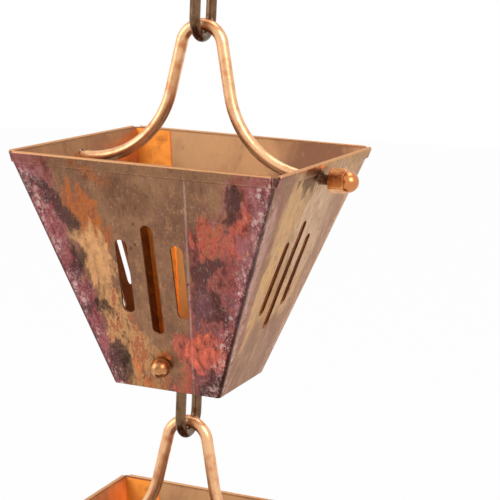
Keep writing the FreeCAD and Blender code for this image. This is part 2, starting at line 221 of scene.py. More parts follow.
class Bench:
    """A node tree while it is being wired."""

    def __init__(self, tree: bpy.types.NodeTree) -> None:
        """Clear a tree for a new set of nodes."""
        self.tree = tree
        tree.nodes.clear()

    def node(
        self,
        kind: str,
        settings: dict[str, Any] | None = None,
        sockets: dict[str, Any] | None = None,
        output: str = "",
    ) -> Sock:
        """Add one node.

        Args:
            kind: The node's type.
            settings: Its own settings, set first.
            sockets: Values or links by the name or identifier of each input.
            output: Name or identifier of the output wanted, or the first if empty.

        Returns:
            The output, ready for more maths.
        """
        made = self.tree.nodes.new(kind)
        for key, value in (settings or {}).items():
            setattr(made, key, value)
        for key, value in (sockets or {}).items():
            socket = self.find(made.inputs, key)
            if isinstance(value, Sock):
                self.tree.links.new(value.socket, socket)
            elif isinstance(value, Tint):
                socket.default_value = (*value.linear, 1.0)
            elif socket.type == "RGBA":
                socket.default_value = (*value, 1.0)
            else:
                socket.default_value = value
        wanted = self.find(made.outputs, output) if output else next(iter(made.outputs), None)
        return Sock(self, wanted)

    @staticmethod
    def find(sockets: Iterable[bpy.types.NodeSocket], key: str) -> bpy.types.NodeSocket:
        """The socket with this identifier, or else this name."""
        return next((s for s in sockets if s.identifier == key), None) or sockets[key]

    def math(self, operation: str, *values: Value) -> Sock:
        """One Math node on one to three values."""
        sockets = dict(zip(("Value", "Value_001", "Value_002"), values))
        return self.node("ShaderNodeMath", {"operation": operation}, sockets)

    def step(self, value: Sock, low: float, high: float, start: float, end: float) -> Sock:
        """A smooth, clamped step of a value between two ends."""
        return self.node(
            "ShaderNodeMapRange",
            {"interpolation_type": "SMOOTHSTEP"},
            {"Value": value, "From Min": low, "From Max": high, "To Min": start, "To Max": end},
        )

    def mix(self, share: Value, first: Any, second: Any) -> Sock:
        """A colour between two colours."""
        sockets = {"Factor_Float": share, "A_Color": first, "B_Color": second}
        return self.node("ShaderNodeMix", {"data_type": "RGBA"}, sockets, "Result_Color")

    def stretch(self, vector: Sock, scale: Sequence[float], shift: Sequence[float] = (0, 0, 0)) -> Sock:
        """A vector scaled along each axis, then moved."""
        sockets = {"Vector": vector, "Vector_001": tuple(scale), "Vector_002": tuple(shift)}
        return self.node("ShaderNodeVectorMath", {"operation": "MULTIPLY_ADD"}, sockets)

    def scaled(self, colour: Sock, factor: Sock) -> Sock:
        """A colour made brighter or darker."""
        return self.node("ShaderNodeVectorMath", {"operation": "SCALE"}, {"Vector": colour, "Scale": factor})

    def part(self, vector: Sock, axis: str) -> Sock:
        """One coordinate of a vector."""
        return self.node("ShaderNodeSeparateXYZ", None, {"Vector": vector}, axis)

    def noise(
        self, vector: Sock, scale: float, detail: float = 3.0, roughness: float = 0.55, swirl: float = 0.0
    ) -> Sock:
        """Cloudy noise about a half."""
        sockets = {
            "Vector": vector,
            "Scale": scale,
            "Detail": detail,
            "Roughness": roughness,
            "Distortion": swirl,
        }
        return self.node("ShaderNodeTexNoise", None, sockets, "Fac")

    def dots(self, vector: Sock, scale: float, size: float) -> Sock:
        """Scattered round spots, one at the middle of each."""
        near = self.node("ShaderNodeTexVoronoi", None, {"Vector": vector, "Scale": scale}, "Distance")
        return near.fall(size * 0.5, size)


@dataclass(frozen=True)
class Flame:
    """One heat mark or wash on a wall, some partly painted light, in rim widths across the wall and down from
    the rim.
    """

    wall: Wall
    top: Pair
    foot: Pair
    width: float
    tint: Tint
    strength: float = 1.0
    ragged: float = 1.0
    blotch: Tint | None = None
    wild: bool = False


@dataclass(frozen=True)
class FlameCopper:
    """Copper sheet coloured by flame, with bloom along its corners and fine scratches."""

    name: str
    seed: int
    ground: Tint
    shade: Tint
    edge: Tint
    flames: tuple[Flame, ...]
    bloom: float = 0.72
    metallic: float = 0.86

    def material(self) -> bpy.types.Material:
        """Make the sheet's material.

        Returns:
            The material, in which places are measured from the middle of the cup's rim.
        """
        material = bpy.data.materials.new(self.name)
        material.use_nodes = True
        bench = Bench(material.node_tree)
        place = bench.node("ShaderNodeTexCoord", None, None, "Object")
        normal = bench.node("ShaderNodeTexCoord", None, None, "Normal")
        unit = 1 / (RIM_WIDTH * MM)
        spot = bench.stretch(place, (unit, unit, unit))
        cloud = bench.stretch(spot, (1, 1, 0.55), (self.seed * 3.7, self.seed * 1.9, self.seed * 5.3))
        x = bench.part(spot, "X")
        y = bench.part(spot, "Y")
        z = bench.part(spot, "Z")
        depth = 0 - z

        # Walls laid side by side: the front runs from -0.5 to 0.5, then the right, back and left.
        side = abs(x) > abs(y)
        front_back = x + (y > 0.0) * (2 - x * 2)
        right_left = 3 - y + (x > 0.0) * (y * 2 - 2)
        along = front_back + side * (right_left - front_back)
        corner = abs(abs(x) - abs(y))

        broad = bench.noise(cloud, 6.0, 5.0, 0.62, 0.4) - 0.5
        middling = bench.noise(bench.stretch(cloud, (1, 1, 0.5), (3, 1, 7)), 15.0, 5.0, 0.68, 0.6) - 0.5
        fine = bench.noise(cloud, 36.0, 6.0, 0.7) - 0.5
        streaks = bench.noise(bench.stretch(cloud, (1, 1, 0.2), (6, 2, 1)), 60.0, 4.0, 0.7) - 0.5
        grain = bench.noise(cloud, 150.0, 3.0, 0.75) - 0.5
        ragged = broad * 0.7 + middling * 1.1 + streaks * 0.6 + fine * 0.45 + grain * 0.15
        texture = 0.86 + streaks * 1.3 + fine * 1.0 + grain * 0.5
        swirl = bench.noise(bench.stretch(cloud, (1, 1, 0.8), (8, 5, 2)), 9.0, 4.0, 0.6, 0.8) - 0.5
        wandering = along + broad * 0.07 + middling * 0.14 + swirl * 0.14
        sunken = depth + broad * 0.22 + middling * -0.20 + fine * 0.05
        wild = (along + swirl * 0.30 + middling * 0.18, depth + broad * 0.45 + middling * -0.25)
        blotches = (middling * 1.2 + streaks * 0.8 + fine * 0.8).rise(-0.01, 0.13)

        colour = bench.mix((broad + middling * 0.5).rise(-0.16, 0.14), self.ground, self.shade)
        colour = bench.mix((fine + broad * 0.5 + grain * 0.5).rise(0.04, 0.26) * 0.28, colour, Tint.TAN)
        colour, bloom = self.edge_bloom(bench, colour, cloud, corner, fine, broad)
        marked: Value = 0.0
        for flame in self.flames:
            across, down = wild if flame.wild else (wandering, sunken) if flame.ragged else (along, depth)
            tint = flame.tint
            if flame.blotch:
                tint = bench.mix(blotches, tint, flame.blotch)
            share = self.flame_share(flame, across, down, ragged)
            if flame.ragged > RAGGED_MARK:
                marked = bench.math("MAXIMUM", share, marked)
            colour = bench.mix(share * texture if flame.ragged else share, colour, tint)
        flecks = (middling * 0.7 - fine * 1.0 - streaks * 0.7).rise(0.07, 0.22) * marked
        colour = bench.mix(flecks * 0.45, colour, Tint.CHARCOAL)
        glints = (fine * 1.0 + streaks * 0.8 + grain * 0.5 - middling * 0.5).rise(0.10, 0.28) * marked
        colour = bench.mix(glints * 0.25, colour, Tint.TAN)
        burnt = (middling * 3.8 + fine * 1.5 + streaks * 1.6) * (marked * 0.75 + 0.25) + 1
        colour = bench.scaled(colour, bench.math("MAXIMUM", burnt, 0.4))
        dark = (fine * -0.8 - grain * 0.8 - streaks * 0.5 + middling * 0.3).rise(0.02, 0.32)
        colour = bench.mix(dark * 0.6, colour, Tint.INSIDE_BROWN)
        colour = bench.mix((grain + fine * 0.5 + streaks * 0.3).rise(0.04, 0.30) * 0.26, colour, Tint.STRAW)
        colour = bench.mix(bloom * self.bloom, colour, Tint.BLOOM)
        # Painted shade: a thin dark line along each folded corner.
        fold_shade = (corner + fine * 0.03 + grain * 0.02).fall(0.004, 0.020)
        colour = bench.mix(fold_shade * 0.8, colour, Tint.CHARCOAL)
        colour, scratch = self.fine_marks(bench, colour, cloud)
        colour = self.rim_and_hem(bench, colour, depth, fine)
        colour, within = self.inside(bench, colour, normal, spot, depth, fine, broad, middling)

        rough = 0.34 + broad * 0.22 + fine * 0.2 + grain * 0.1 + bloom * 0.16 - scratch * 0.08 + within * 0.04
        height = bench.noise(cloud, 2.6, 2.0) * 3.0 + fine * 0.2 + grain * 0.1 + bloom * 0.08 - scratch * 0.06
        bump = bench.node(
            "ShaderNodeBump", None, {"Strength": 0.22, "Distance": 0.0006, "Height": height}, "Normal"
        )
        shade = bench.node(
            "ShaderNodeBsdfPrincipled",
            None,
            {
                "Base Color": colour,
                "Metallic": self.metallic,
                "Roughness": rough,
                "Normal": bump,
                "Specular Tint": (0.78, 0.60, 0.48),
                "Coat Weight": 0.04,
                "Coat Roughness": 0.3,
            },
        )
        bench.node("ShaderNodeOutputMaterial", None, {"Surface": shade})
        return material

    @staticmethod
    def flame_share(flame: Flame, across: Sock, depth: Sock, ragged: Sock) -> Sock:
        """How far one flame mark covers the ground.

        Args:
            flame: The mark.
            across: Place across the walls.
            depth: Depth below the rim.
            ragged: Noise about nought that frays the mark's border.

        Returns:
            A share from nought to the mark's strength.
        """
        (top, high), (foot, low) = flame.top, flame.foot
        slope = (foot - top) / (low - high)
        off = abs(depth.times_plus(-slope, across) - (flame.wall.value + top - slope * high))
        end = min(FLAME_FADE, (low - high) * 0.5)
        cover = off.fall(0.0, flame.width) * depth.rise(high - end, high + end)
        cover = cover * depth.fall(low - end, low + end)
        return ragged.times_plus(flame.ragged, cover).rise(*FRAY, flame.strength)

    def edge_bloom(
        self, bench: Bench, colour: Sock, cloud: Sock, corner: Sock, fine: Sock, broad: Sock
    ) -> tuple[Sock, Sock]:
        """Colour the strips beside the folded corners and find where pale bloom lies on them.

        Args:
            bench: The material's bench.
            colour: Colour so far.
            cloud: Place for noise.
            corner: Distance from the nearest corner.
            fine: Fine noise about nought.
            broad: Broad noise about nought.

        Returns:
            The new colour and the share of bloom.
        """
        strip = (corner + broad * 0.16 + fine * 0.14).fall(0.05, 0.11)
        colour = bench.mix(strip * 0.85, colour, self.edge)
        purple = bench.noise(bench.stretch(cloud, (1, 1, 1), (5, 8, 2)), 16.0, 5.0, 0.68, 0.6)
        colour = bench.mix(strip * purple.rise(0.49, 0.58) * 0.8, colour, Tint.PLUM)
        gate = bench.noise(bench.stretch(cloud, (1, 1, 1), (2, 7, 4)), 12.0, 4.0, 0.7).rise(0.42, 0.56)
        patches = bench.noise(bench.stretch(cloud, (1, 1, 1), (9, 3, 4)), 42.0, 5.0, 0.75).rise(0.52, 0.66)
        crumbs = bench.noise(bench.stretch(cloud, (1, 1, 1), (4, 4, 1)), 130.0, 3.0, 0.75).rise(0.52, 0.66)
        spots = bench.dots(bench.stretch(cloud, (1, 1, 1.8), (1, 6, 3)), 30.0, 0.42) * gate
        near = (corner + fine * 0.10 + broad * 0.05).fall(0.03, 0.12)
        edge = (corner + fine * 0.05).rise(0.012, 0.02) * (corner + fine * 0.08).fall(0.035, 0.07)
        powder = (corner + fine * 0.06).fall(0.015, 0.05) * (patches * 0.5 + crumbs * 0.5)
        return colour, (patches * 0.7 + crumbs * 0.6) * gate * near + spots * edge * 0.8 + powder

    @staticmethod
    def fine_marks(bench: Bench, colour: Sock, cloud: Sock) -> tuple[Sock, Sock]:
        """Add hair scratches and small dark specks.

        Args:
            bench: The material's bench.
            colour: Colour so far.
            cloud: Place for noise.

        Returns:
            The new colour and the share of scratches.
        """
        scratch = bench.noise(bench.stretch(cloud, (60, 60, 5)), 3.0, 2.0).rise(0.64, 0.72)
        scratch = scratch + bench.noise(bench.stretch(cloud, (14, 14, 150)), 2.0, 2.0).rise(0.66, 0.74) * 0.6
        colour = bench.mix(scratch * 0.22, colour, Tint.BLOOM)
        specks = bench.dots(cloud, 30.0, 0.16) * bench.noise(cloud, 7.0, 2.0).rise(0.48, 0.6)
        return bench.mix(specks * 0.7, colour, Tint.CHARCOAL), scratch

    @staticmethod
    def rim_and_hem(bench: Bench, colour: Sock, depth: Sock, fine: Sock) -> Sock:
        """Darken the hem, paint a highlight along its lower edge and the shadow that it casts on the wall,
        and brighten the top of the rim.

        Args:
            bench: The material's bench.
            colour: Colour so far.
            depth: Depth below the rim in rim widths.
            fine: Fine noise about nought.

        Returns:
            The new colour.
        """
        hem = depth.fall(0.0405, 0.0415)
        colour = bench.mix(hem * (0.22 + fine * 1.2), colour, Tint.HEM)
        # Painted highlight along the hem's lower edge.
        colour = bench.mix(hem * depth.rise(0.0375, 0.040) * (0.2 + fine * 1.6), colour, Tint.RIM)
        # Painted shadow cast by the hem on the wall just below it.
        hem_shadow = depth.rise(0.0405, 0.0415) * (depth + fine * 0.01).fall(0.042, 0.050)
        colour = bench.mix(hem_shadow * 0.45, colour, Tint.INSIDE_BROWN)
        return bench.mix((depth + fine * 0.006).fall(0.004, 0.009) * 0.85, colour, Tint.RIM)

    def inside(
        self,
        bench: Bench,
        colour: Sock,
        normal: Sock,
        spot: Sock,
        depth: Sock,
        fine: Sock,
        broad: Sock,
        middling: Sock,
    ) -> tuple[Sock, Sock]:
        """Colour the inner faces: golden at the rim with mauve patches, a painted orange glow lower down with
        painted shade deep on the right, mauve and painted shade on the left wall, darkest in its back corner,
        and a painted pool of light low on the back wall.

        Args:
            bench: The material's bench.
            colour: Colour so far.
            normal: Surface direction.
            spot: Place in rim widths.
            depth: Depth below the rim.
            fine: Fine noise about nought.
            broad: Broad noise about nought.
            middling: Noise of middle size about nought.

        Returns:
            The new colour and the share of the surface that is inside.
        """
        level = bench.stretch(spot, (1, 1, 0))
        sockets = {"Vector": normal, "Vector_001": level}
        facing = bench.node("ShaderNodeVectorMath", {"operation": "DOT_PRODUCT"}, sockets, "Value")
        within = facing.fall(-0.02, 0.0) * (depth + fine * 0.006).rise(0.006, 0.014)
        x = bench.part(spot, "X")
        veil = (x + broad * 0.3).rise(0.06, 0.20) * (x + broad * 0.2).fall(0.36, 0.44)
        mauve = bench.math("MAXIMUM", veil, (broad * 1.4 + middling * 0.5).rise(-0.06, 0.20) * 0.4)
        lining = bench.mix(mauve, Tint.INSIDE, Tint.INSIDE_MAUVE)
        # Painted glow: the inside turns orange lower down, as light bouncing in the cup would make it.
        glow = (depth + broad * 0.3).rise(0.12, 0.34)
        lining = bench.mix(glow, lining, Tint.INSIDE_ORANGE)
        # Painted shade deep in the cup, towards its right side.
        deep_shade = (x + broad * 0.7 + middling * 0.5).rise(-0.02, 0.32) * 0.9
        lining = bench.mix(glow * deep_shade, lining, Tint.INSIDE_BROWN)
        across = bench.part(normal, "X")
        left = across.rise(0.4, 0.7)
        lining = bench.mix(left * (0.5 + middling), lining, Tint.INSIDE_MAUVE)
        # Painted shade on the left inner wall, darker lower down.
        lining = bench.mix(left * (depth + broad * 0.1).rise(0.05, 0.22), lining, Tint.SOOT_AND_SHADE)
        y = bench.part(spot, "Y")
        # Painted shade in the deep back corner of the left inner wall.
        corner_shade = left * (y + broad * 0.1).rise(0.16, 0.30) * (depth + broad * 0.2).rise(0.12, 0.50)
        lining = bench.mix(corner_shade * 0.9, lining, Tint.CHAR)
        # Painted pool of light low on the left part of the back inner wall, near the lap.
        back = bench.part(normal, "Y").fall(-0.7, -0.4)
        lit_patch = back * (x + broad * 0.15).fall(-0.16, -0.04) * (depth + middling * 0.1).rise(0.20, 0.30)
        lining = bench.mix(lit_patch, lining, Tint.GLOW)
        lining = bench.mix((fine + middling * 0.4).rise(0.06, 0.26) * 0.35, lining, Tint.TAN)
        lining = bench.mix((fine * -1 + middling * 0.4).rise(0.08, 0.28) * 0.4, lining, Tint.UMBER)
        return bench.mix(within, colour, lining), within


@dataclass(frozen=True)
class PlainMetal:
    """Drawn, turned or forged metal with tarnish in clouds and bright rubbed marks."""

    name: str
    bright: Tint
    tarnish: Tint
    cover: float
    rough: float
    grain: Sequence[float]
    stain: float = 0.3
    metallic: float = 0.95
    bump: float = 0.12
    tip: Tint | None = None
    tip_start: float = 6.3

    def material(self) -> bpy.types.Material:
        """Make the metal's material.

        Returns:
            The material, with its grain along the stretched axis.
        """
        material = bpy.data.materials.new(self.name)
        material.use_nodes = True
        bench = Bench(material.node_tree)
        place = bench.node("ShaderNodeTexCoord", None, None, "Object")
        spot = bench.stretch(place, (1000, 1000, 1000))
        clouds = bench.noise(spot, 0.16, 4.0, 0.6)
        stains = bench.noise(spot, 0.9, 4.0, 0.65)
        lines = bench.noise(bench.stretch(spot, self.grain), 1.0, 3.0)
        tarnished = clouds + (stains - 0.5) * self.stain
        shade_share = tarnished.rise(0.58 - self.cover * 0.4, 0.92 - self.cover * 0.4)
        colour = bench.mix(shade_share, self.bright, self.tarnish)
        if self.tip:
            reach = abs(bench.part(spot, "X"))
            colour = bench.mix(reach.rise(self.tip_start, self.tip_start + 0.5), colour, self.tip)
        specks = bench.dots(spot, 0.8, 0.22) * stains.rise(0.5, 0.62)
        grime = tuple(part * SPECK_SHADE for part in self.tarnish.linear)
        colour = bench.mix(specks * self.stain, colour, grime)
        rough = self.rough + shade_share * 0.10 + (lines - 0.5) * 0.12 + specks * 0.15
        height = lines * 0.7 + stains * 0.5
        bump = bench.node(
            "ShaderNodeBump", None, {"Strength": self.bump, "Distance": 0.0002, "Height": height}, "Normal"
        )
        shade = bench.node(
            "ShaderNodeBsdfPrincipled",
            None,
            {"Base Color": colour, "Metallic": self.metallic, "Roughness": rough, "Normal": bump},
        )
        bench.node("ShaderNodeOutputMaterial", None, {"Surface": shade})
        return material


class Mark(IntEnum):
    """Which of a piece's finishes a face has."""

    MAIN = 0
    SECOND = 1
    CUT = 2


class Draft:
    """Points and faces of one piece, in millimetres, while it is being shaped."""

    def __init__(self) -> None:
        """Start with nothing."""
        self.points: list[Vector] = []
        self.faces: list[tuple[int, ...]] = []
        self.marks: list[int] = []
        self.mark = Mark.MAIN

    def add(self, points: Iterable[Sequence[float]]) -> list[int]:
        """Add points and give their numbers."""
        first = len(self.points)
        self.points += [Vector(point) for point in points]
        return list(range(first, len(self.points)))

    def face(self, corners: Iterable[int]) -> None:
        """Add one face with the finish now in use."""
        self.faces.append(tuple(corners))
        self.marks.append(self.mark)

    def band(self, first: Sequence[int], second: Sequence[int], closed: bool = True) -> None:
        """Join two rows of points by a band of four-sided faces."""
        count = len(first)
        for here in range(count if closed else count - 1):
            after = (here + 1) % count
            self.face((first[here], first[after], second[after], second[here]))

    def skin(self, rings: Sequence[Sequence[int]], looped: bool = False) -> None:
        """Cover a row of rings.

        Args:
            rings: Rings of as many points each.
            looped: Whether the last ring meets the first; if not, both ends are capped.
        """
        for first, second in zip(rings, rings[1:]):
            self.band(first, second)
        if looped:
            self.band(rings[-1], rings[0])
        else:
            self.face(rings[0])
            self.face(reversed(rings[-1]))

    def plate(self, outline: Sequence[int], holes: Sequence[Sequence[int]]) -> None:
        """Fill a flat outline that has holes."""
        loops = [list(outline), *[list(hole) for hole in holes]]
        numbers = [number for loop in loops for number in loop]
        for triangle in tessellate_polygon([[self.points[number] for number in loop] for loop in loops]):
            self.face(numbers[corner] for corner in triangle)

    def sweep(
        self,
        path: Sequence[Vector],
        flat: Vector,
        widths: Callable[[int], Pair],
        sides: int = 28,
        looped: bool = False,
    ) -> None:
        """Run an oval section along a path that lies in a plane.

        Args:
            path: Points along the middle.
            flat: The direction square to the path's plane.
            widths: Half sizes along that direction and in the plane, by the point's number.
            sides: Points round the section.
            looped: Whether the path closes.
        """
        rings = []
        last = len(path) - 1
        for number, point in enumerate(path):
            before = path[number - 1] if number or looped else point
            after = path[(number + 1) % len(path)] if number < last or looped else point
            outward = (after - before).normalized().cross(flat)
            wide, thick = widths(number)
            turns = [2 * math.pi * side / sides for side in range(sides)]
            offsets = [flat * math.cos(turn) * wide + outward * math.sin(turn) * thick for turn in turns]
            rings.append(self.add(point + offset for offset in offsets))
        self.skin(rings, looped)

    def turn(
        self,
        start: Vector,
        axis: Vector,
        rows: Sequence[Pair],
        shape: Shape | None = None,
        sides: int = 36,
    ) -> None:
        """Turn a profile about an axis, closing both ends.

        Args:
            start: The point on the axis from which rows are measured.
            axis: Direction of the axis.
            rows: Distance along the axis and radius of each row.
            shape: Changes a radius by row distance, radius and angle.
            sides: Points round the axis.
        """
        first = axis.orthogonal().normalized() if abs(axis.z) > 0.9 else Vector((0, 0, 1))
        second = axis.cross(first)
        rings = []
        for along, radius in rows:
            ring = []
            for side in range(sides):
                angle = 2 * math.pi * side / sides
                reach = shape(along, radius, angle) if shape else radius
                away = first * math.cos(angle) + second * math.sin(angle)
                ring.append(start + axis * along + away * reach)
            rings.append(self.add(ring))
        self.skin(rings)

    def piece(
        self, name: str, place: Sequence[float], finishes: Sequence[bpy.types.Material], smooth: float = 32.0
    ) -> bpy.types.Object:
        """Turn the draft into an object.

        Args:
            name: Name of the piece.
            place: Its own origin, in millimetres in the chain's frame.
            finishes: Materials by mark.
            smooth: Largest angle, in degrees, over which the surface is shaded as one.

        Returns:
            The object, linked to the scene.
        """
        mesh = bpy.data.meshes.new(name)
        mesh.from_pydata([point * MM for point in self.points], [], self.faces)
        mesh.polygons.foreach_set("material_index", self.marks)
        shape = bmesh.new()
        shape.from_mesh(mesh)
        bmesh.ops.remove_doubles(shape, verts=shape.verts, dist=0.002 * MM)
        bmesh.ops.recalc_face_normals(shape, faces=shape.faces)
        shape.to_mesh(mesh)
        shape.free()
        mesh.shade_smooth()
        mesh.set_sharp_from_angle(angle=math.radians(smooth))
        for finish in finishes:
            mesh.materials.append(finish)
        made = bpy.data.objects.new(name, mesh)
        made.location = Vector(place) * MM
        bpy.context.scene.collection.objects.link(made)
        return made


def seat(piece: bpy.types.Object, body: str, node: str) -> None:
    """Let a piece ride on its body in place of its solid.

    Args:
        piece: The dressed piece.
        body: Body of the chain that carries it.
        node: Solid that it stands for.
    """
    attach(piece, body)
    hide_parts(node)
    log.info("%s: %d faces, for %s on %s", piece.name, len(piece.data.polygons), node, body)


def middle_height(node: str) -> float:
    """Height of the middle of a solid, in millimetres."""
    low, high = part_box(node)
    return (low.z + high.z) / 2 / MM


def arc(centre: Pair, radius: float, start: float, end: float, steps: int) -> list[Pair]:
    """Points along an arc, its angles in degrees."""
    angles = [math.radians(start + (end - start) * step / steps) for step in range(steps + 1)]
    return [(centre[0] + radius * math.cos(a), centre[1] + radius * math.sin(a)) for a in angles]


def thread_shape(start: float, end: float) -> Shape:
    """A screw thread cut into a turned rod.

    Args:
        start: Where the thread starts along the axis.
        end: Where it ends.

    Returns:
        A change of radius by distance, radius and angle.
    """

    def shape(along: float, radius: float, angle: float) -> float:
        """Radius at one place."""
        if not start <= along <= end:
            return radius
        wave = abs(2 * ((along / THREAD_PITCH - angle / (2 * math.pi)) % 1) - 1)
        fade = min(1.0, (along - start) / THREAD_PITCH, (end - along) / THREAD_PITCH)
        return radius - THREAD_DEPTH * fade * min(1.0, max(0.0, wave * 1.5 - 0.25))

    return shape


def steps_between(start: float, end: float, step: float) -> list[float]:
    """Even steps from start to end, both included, about one step apart."""
    count = max(1, round(abs(end - start) / step))
    return [start + (end - start) * number / count for number in range(count + 1)]


def cut_thread(
    draft: Draft, axle: Vector, crest: float, start: float, groove: float, nut_seat: float, tip: float
) -> None:
    """Turn one threaded end of a rod, which is plain again inside its nut.

    Args:
        draft: The rod's draft.
        axle: Direction of the end.
        crest: Radius over the thread.
        start: Where the end starts along the axle.
        groove: Where the thread starts.
        nut_seat: Where the nut starts.
        tip: Where the end stops.
    """
    end = nut_seat + THREAD_RUN
    rows = [(along, crest) for along in steps_between(start, end, THREAD_PITCH / 8)]
    rows += [(end + 0.2, crest - 0.3), (tip - 0.4, crest - 0.3), (tip, crest - 0.7)]
    draft.turn(Vector(), axle, rows, thread_shape(groove, end), 28)


def bore_rows(bore: float, depth: float, taper: float, mouth: float) -> list[Pair]:
    """Profile of a nut's blind bore from its end to its mouth."""
    return [(depth, 0.02), (depth - taper, bore), (mouth, bore), (0.0, bore + 0.3)]


@dataclass
class Cup:
    """A folded square cup: four leaning walls, drain slots, a hem on each wall and one soldered lap."""

    number: int
    finish: bpy.types.Material
    lap_finish: bpy.types.Material
    cut_finish: bpy.types.Material
    outlet_width: float = 45.0
    height: float = 92.5
    sheet: float = 0.8
    bend: float = 1.5
    bend_steps: int = 8
    hem: float = 4.4
    hem_setback: float = 2.6
    hem_gap: float = 0.05
    wall_top: float = 0.6
    lap_width: float = 17.0
    lap_foot_width: float = 9.0
    lap_margin: float = 1.0
    slot_width: float = 4.8
    slot_spacing: float = 11.4
    middle_slot: Pair = (24.2, 68.3)
    side_slot: Pair = (31.0, 60.6)
    hanger_depth: float = 7.5
    hanger_hole: float = 2.4
    pin_depth: float = 82.0
    pin_hole: float = 2.2
    edge: float = 0.12

    def __post_init__(self) -> None:
        """Work out how far the walls lean."""
        self.lean = math.atan((RIM_WIDTH - self.outlet_width) / 2 / self.height)

    def wall_point(self, wall: Wall, across: float, down: float, out: float = 0.0) -> Vector:
        """A point by a wall's own measures: across it, down its slope and out from its face."""
        sine, cosine = math.sin(self.lean), math.cos(self.lean)
        point = Vector((across, down * sine - out * cosine - RIM_WIDTH / 2, -down * cosine - out * sine))
        return wall.turned(point)

    def bend_point(self, wall: Wall, share: float, height: float, inside: bool) -> Vector:
        """A point on the fold from a wall to the next one.

        Args:
            wall: The wall that the fold starts from.
            share: How far round the fold, from nought to one.
            height: Height above the rim.
            inside: Whether the point is on the inner face.

        Returns:
            The point, measured from the middle of the rim.
        """
        sine, cosine = math.sin(self.lean), math.cos(self.lean)
        radius = self.bend - (self.sheet if inside else 0)
        normal = Vector((0, -cosine, -sine)).slerp(Vector((cosine, 0, -sine)), share)
        level = height - radius * normal.z
        reach = RIM_WIDTH / 2 + level * math.tan(self.lean) - self.bend / cosine
        return wall.turned(Vector((reach, -reach, level)) + normal * radius)

    def slot_outline(self, middle: float, top: float, bottom: float, grow: float) -> list[Pair]:
        """A slot with round ends, across and down a wall."""
        radius = self.slot_width / 2
        cosine = math.cos(self.lean)
        upper = arc((middle, top / cosine + radius), radius + grow, 180, 360, 12)
        return upper + arc((middle, bottom / cosine - radius), radius + grow, 0, 180, 12)

    def hole_outline(self, depth: float, radius: float, grow: float) -> list[Pair]:
        """A round hole in the middle of a wall."""
        return arc((0, depth / math.cos(self.lean)), radius + grow, 0, 345, 23)

    def outlines(self, wall: Wall, grow: float) -> list[list[Pair]]:
        """Every cut-out of one wall, grown by the width of its broken edge."""
        cuts = [self.slot_outline(0, *self.middle_slot, grow)]
        for middle in (-self.slot_spacing, self.slot_spacing):
            cuts.append(self.slot_outline(middle, *self.side_slot, grow))
        if wall in (Wall.LEFT, Wall.RIGHT):
            cuts.append(self.hole_outline(self.hanger_depth, self.hanger_hole, grow))
        else:
            cuts.append(self.hole_outline(self.pin_depth, self.pin_hole, grow))
        return cuts

    def fold_sheet(self, draft: Draft) -> None:
        """Shape the four walls, their folds, cut-outs and broken edges."""
        top, foot = -self.wall_top, -self.height
        columns = []
        for wall in Wall:
            for step in range(self.bend_steps + 1):
                share = step / self.bend_steps
                rows = []
                for height, within in ((top, -self.edge), (foot, self.edge)):
                    outer = self.bend_point(wall, share, height, False)
                    inner = self.bend_point(wall, share, height, True)
                    inward = (inner - outer).normalized() * self.edge
                    rows.append(self.bend_point(wall, share, height + within, False))
                    rows += [outer + inward, inner - inward]
                    rows.append(self.bend_point(wall, share, height + within, True))
                columns.append(draft.add(rows))
        for here, column in enumerate(columns):
            after = columns[(here + 1) % len(columns)]
            draft.mark = Mark.CUT
            for row in (0, 1, 2, 4, 5, 6):
                draft.face((column[row], after[row], after[row + 1], column[row + 1]))
            draft.mark = Mark.MAIN
            if (here + 1) % (self.bend_steps + 1):
                draft.face((column[0], after[0], after[4], column[4]))
                draft.face((column[3], after[3], after[7], column[7]))
        for wall in Wall:
            left = columns[(wall.value * (self.bend_steps + 1) - 1) % len(columns)]
            right = columns[wall.value * (self.bend_steps + 1)]
            self.pierce(draft, wall, left, right)

    def pierce(self, draft: Draft, wall: Wall, left: Sequence[int], right: Sequence[int]) -> None:
        """Fill one wall's two faces round its cut-outs.

        Args:
            draft: The cup's draft.
            wall: The wall.
            left: Points of the fold on its left.
            right: Points of the fold on its right.
        """
        outer_holes, inner_holes = [], []
        for wide, true in zip(self.outlines(wall, self.edge), self.outlines(wall, 0)):
            rings = [
                draft.add(self.wall_point(wall, across, down, out) for across, down in outline)
                for outline, out in (
                    (wide, 0.0),
                    (true, -self.edge),
                    (true, self.edge - self.sheet),
                    (wide, -self.sheet),
                )
            ]
            draft.mark = Mark.CUT
            for first, second in zip(rings, rings[1:]):
                draft.band(first, second)
            draft.mark = Mark.MAIN
            outer_holes.append(rings[0])
            inner_holes.append(rings[-1])
        draft.plate((left[4], right[4], right[0], left[0]), outer_holes)
        draft.plate((left[7], right[7], right[3], left[3]), inner_holes)

    def fold_hems(self, draft: Draft) -> None:
        """Shape the hem of each wall, folded outward and down over a round edge."""
        middle = self.hem_gap / 2
        radius = self.sheet + middle
        crest = (radius - middle * math.sin(self.lean)) / math.cos(self.lean)
        end = self.hem / math.cos(self.lean)
        outer, inner = self.sheet + self.hem_gap, self.hem_gap
        section = [(out, crest - (up - crest)) for out, up in arc((middle, crest), radius, 180, 0, 14)]
        section += [(outer, end - 0.25), (outer - 0.08, end - 0.08), (outer - 0.25, end)]
        section += [(inner + 0.2, end), (inner, end - 0.2), (inner, crest)]
        reach = RIM_WIDTH / 2 - self.hem_setback
        flat = reach - self.edge
        for wall in Wall:
            rings = []
            for across, grow in ((-reach, -self.edge), (-flat, 0), (flat, 0), (reach, -self.edge)):
                ring = []
                for out, down in section:
                    away = Vector((out - middle, down - crest)) if down < crest else Vector((out - 0.4, 0))
                    shift = away.normalized() * grow if away.length else away
                    ring.append(self.wall_point(wall, across, down + shift.y, out + shift.x))
                rings.append(draft.add(ring))
            draft.skin(rings)

